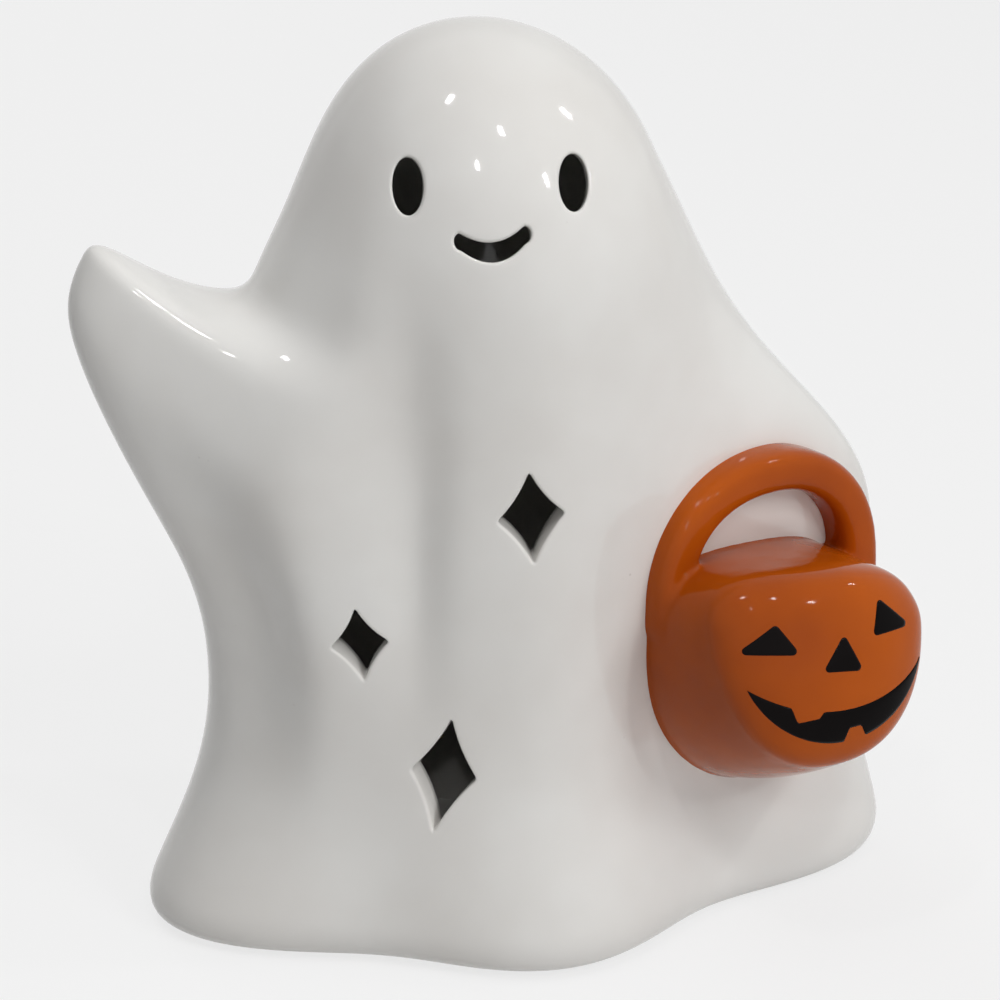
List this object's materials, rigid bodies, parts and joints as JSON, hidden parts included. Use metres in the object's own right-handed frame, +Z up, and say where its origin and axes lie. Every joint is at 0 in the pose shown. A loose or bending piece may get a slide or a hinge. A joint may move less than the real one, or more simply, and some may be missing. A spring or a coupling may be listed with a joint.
{
  "type": "ceramic ghost light",
  "caption": "Hollow glazed ceramic ghost with a raised arm, cut-out face and diamonds and a pumpkin pail, lit by a battery unit with a hinged door in its foot.",
  "frame": {"origin": "middle of the figure's plan box, on the surface the foot pads stand on", "axes": "+Z up, the ghost's face looks along -Y, the raised arm is on the -X side"},
  "size_m": [0.1816, 0.1052, 0.2011],
  "materials": {
    "white_glaze": "clear gloss glaze over white earthenware",
    "orange_glaze": "gloss orange glaze",
    "black_glaze": "gloss black glaze",
    "pad_rubber": "pale silicone",
    "gasket_foam": "closed-cell foam",
    "base_plastic": "fine moulded texture",
    "cover_plastic": "fine moulded texture",
    "screw_steel": "zinc plated",
    "board_laminate": "solder mask",
    "lamp_epoxy": "warm white lens",
    "chip_epoxy": "moulded epoxy",
    "resistor_body": "coated chip",
    "cell_jacket": "plain printed jacket with no text",
    "contact_nickel": "nickel plated",
    "switch_plastic": "moulded",
    "lead_tinned": "tinned wire",
    "door_plastic": "fine moulded texture"
  },
  "bodies": {
    "figure": {"ghost_body": "white_glaze", "pumpkin_pail": "orange_glaze", "pail_face_glaze": "black_glaze", "foot_pads": "pad_rubber", "base_gasket": "gasket_foam", "light_base": "base_plastic", "base_cover": "cover_plastic", "cover_screws": "screw_steel", "led_board": "board_laminate", "board_screws": "screw_steel", "leds": "lamp_epoxy", "timer_chip": "chip_epoxy", "resistors": "resistor_body", "battery_cells": "cell_jacket", "contact_negative": "contact_nickel", "contact_bridge_left": "contact_nickel", "contact_bridge_right": "contact_nickel", "contact_positive": "contact_nickel", "switch_body": "switch_plastic", "switch_leads": "lead_tinned"},
    "door": {"battery_door": "door_plastic"},
    "knob": {"switch_knob": "switch_plastic"}
  },
  "joints": [
    {"name": "door_hinge", "type": "hinge", "parent": "figure", "child": "door", "pos_m": [-0.02944, 0.00277, 0.0036], "axis": [0, 1, 0], "range_deg": [0, 80]},
    {"name": "knob_slide", "type": "slide", "parent": "figure", "child": "knob", "axis": [1, 0, 0], "range_m": [0, 0.006]}
  ]
}
